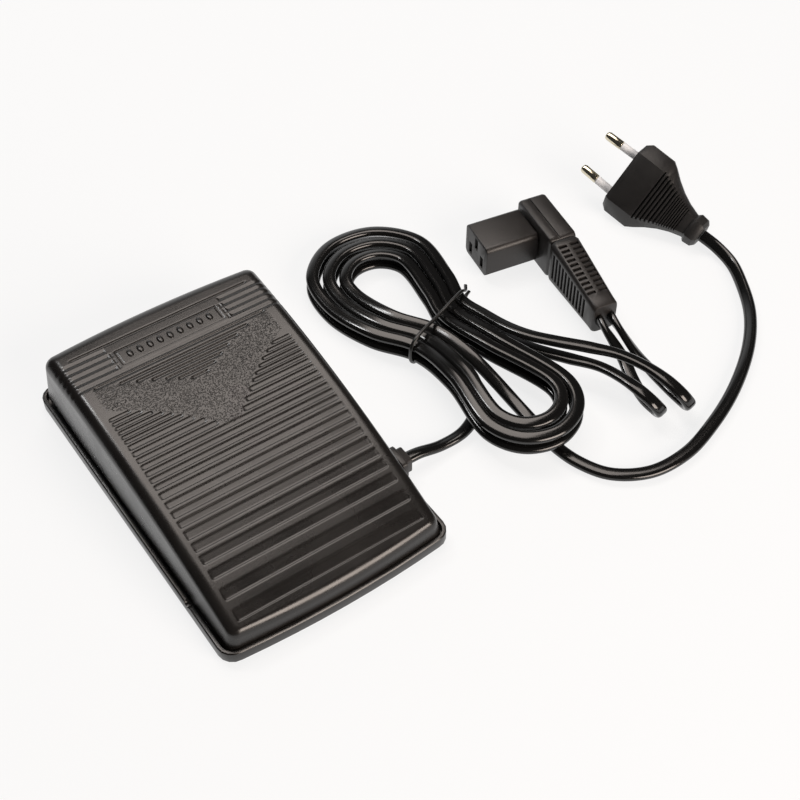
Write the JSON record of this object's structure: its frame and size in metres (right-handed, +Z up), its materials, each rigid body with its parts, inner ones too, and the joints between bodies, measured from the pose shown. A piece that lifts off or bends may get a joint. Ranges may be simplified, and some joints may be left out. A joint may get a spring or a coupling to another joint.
{
  "type": "sewing machine pedal",
  "caption": "Foot-operated speed control for a sewing machine: sprung ribbed treadle on a low base, with a flat cord to a right-angled machine connector and one to a two-pin mains plug.",
  "frame": {"origin": "middle of the pedal's base on the floor", "axes": "+X across the pedal towards the side where the cord leaves, +Y towards the toe end, +Z up"},
  "size_m": [0.2793, 0.1731, 0.0355],
  "materials": {
    "cover_plastic": "satin moulded ABS, near black",
    "base_plastic": "satin moulded ABS, near black",
    "rubber": "matt",
    "cord_pvc": "glossy black PVC sheath",
    "moulded_pvc": "moulded PVC, satin",
    "plug_pvc": "moulded PVC, matt",
    "steel": "bright zinc plate",
    "zinc_steel": "dull zinc plate",
    "brass": "plated",
    "nickel": "nickel plate",
    "sleeve": "pale grey",
    "board": "solder resist",
    "aluminium": "extruded",
    "epoxy": "matt",
    "film": "moulded box",
    "ferrite": "coated core",
    "resistor": "lacquer",
    "terminal": "moulded",
    "nylon": "moulded nylon",
    "lead_brown": "PVC",
    "lead_blue": "PVC"
  },
  "bodies": {
    "base": {"base_tray": "base_plastic", "board_screws_1": "steel", "board_screws_2": "steel", "board_screws_3": "steel", "board_screws_4": "steel", "choke": "ferrite", "clamp_screws_1": "steel", "clamp_screws_2": "steel", "connector_contacts_1": "brass", "connector_contacts_2": "brass", "connector_contacts_3": "brass", "connector_housing": "moulded_pvc", "connector_relief": "moulded_pvc", "connector_socket": "moulded_pvc", "control_board": "board", "cord_clamp": "nylon", "cord_gland": "moulded_pvc", "cord_tail": "cord_pvc", "film_capacitor": "film", "heat_sink": "aluminium", "hinge_rod": "steel", "lead_blue": "lead_blue", "lead_brown": "lead_brown", "mains_cord_connector_end": "cord_pvc", "mains_cord_hank": "cord_pvc", "mains_cord_plug_end": "cord_pvc", "pedal_cord_connector_end": "cord_pvc", "pedal_cord_gland_end": "cord_pvc", "pedal_cord_hank": "cord_pvc", "pin_sleeves_1": "sleeve", "pin_sleeves_2": "sleeve", "plug_body": "plug_pvc", "plug_pins_1": "nickel", "plug_pins_2": "nickel", "resistors_1": "resistor", "resistors_2": "resistor", "return_spring_left": "steel", "return_spring_right": "steel", "rubber_foot_1": "rubber", "rubber_foot_2": "rubber", "rubber_foot_3": "rubber", "rubber_foot_4": "rubber", "slider_body": "epoxy", "switching_part": "epoxy", "terminal_block": "terminal", "twist_tie": "cord_pvc", "weight_plate": "zinc_steel", "weight_screws_1": "steel", "weight_screws_2": "steel"},
    "treadle": {"pusher": "nylon", "pusher_screws_1": "steel", "pusher_screws_2": "steel", "treadle_cover": "cover_plastic"},
    "plunger": {"slider_plunger": "nylon"}
  },
  "joints": [
    {"name": "treadle_hinge", "type": "hinge", "parent": "base", "child": "treadle", "pos_m": [0, -0.046, 0.0066], "axis": [-1, 0, 0], "range_deg": [0, 1.7], "stiffness_Nm_per_rad": 12, "springref_deg": -3.44, "deforming": ["return_spring_left", "return_spring_right"]},
    {"name": "plunger_slide", "type": "slide", "parent": "base", "child": "plunger", "axis": [0, 0, -1], "range_m": [0, 0.0017]}
  ],
  "couplings": [
    {"joint": "plunger_slide", "follows": "treadle_hinge", "m_per_rad": 0.056}
  ]
}
